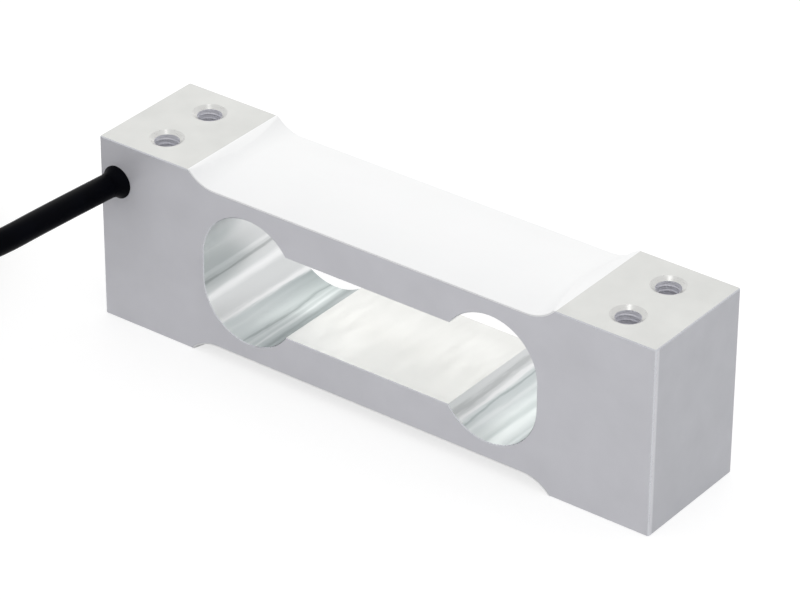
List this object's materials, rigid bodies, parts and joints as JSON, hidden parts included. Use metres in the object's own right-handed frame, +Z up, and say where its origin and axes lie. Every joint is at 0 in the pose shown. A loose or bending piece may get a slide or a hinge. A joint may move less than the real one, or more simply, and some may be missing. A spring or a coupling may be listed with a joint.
{
  "type": "single point load cell",
  "caption": "Aluminium bending-beam load cell with joined round pockets through its side, silicone-covered strain gauges, tapped end holes and a black cable.",
  "frame": {"origin": "middle of the beam's underside, on the plane it rests on", "axes": "+X along the beam to the loaded end, -Y out of the long face that the cable leaves, +Z up"},
  "size_m": [0.2279, 0.0863, 0.04],
  "materials": {
    "body": "satin, clear anodised",
    "silicone": "smooth white silicone",
    "board": "solder resist",
    "resistor": "matt",
    "resin": "cast epoxy",
    "boot": "moulded, matt",
    "jacket": "soft PVC, matt",
    "tie": "moulded nylon",
    "sleeve": "shrunk polyolefin",
    "drain": "tinned copper",
    "gauge": "polyimide film",
    "enamelled_wire": "enamel over copper",
    "red_core": "PVC insulation",
    "green_core": "PVC insulation",
    "white_core": "PVC insulation",
    "black_core": "PVC insulation"
  },
  "bodies": {
    "root": {"beam_body": "body", "top_sealant": "silicone", "bottom_sealant": "silicone", "board_top": "board", "board_bottom": "board", "zero_resistor": "resistor", "span_resistor": "resistor", "bore_potting": "resin", "cable_grommet": "boot", "cable_tube": "jacket", "cable_coil": "jacket", "cable_tail": "jacket", "coil_tie": "tie", "end_sleeve": "sleeve", "drain_wire": "drain", "gauge_top_cable_end": "gauge", "gauge_wires_top_cable_end": "enamelled_wire", "gauge_top_load_end": "gauge", "gauge_wires_top_load_end": "enamelled_wire", "gauge_bottom_cable_end": "gauge", "gauge_wires_bottom_cable_end": "enamelled_wire", "gauge_bottom_load_end": "gauge", "gauge_wires_bottom_load_end": "enamelled_wire", "link_wire_near": "enamelled_wire", "link_wire_middle": "enamelled_wire", "link_wire_far": "enamelled_wire", "core_red": "red_core", "lead_red": "red_core", "core_green": "green_core", "lead_green": "green_core", "core_white": "white_core", "lead_white": "white_core", "core_black": "black_core", "lead_black": "black_core"}
  },
  "joints": []
}
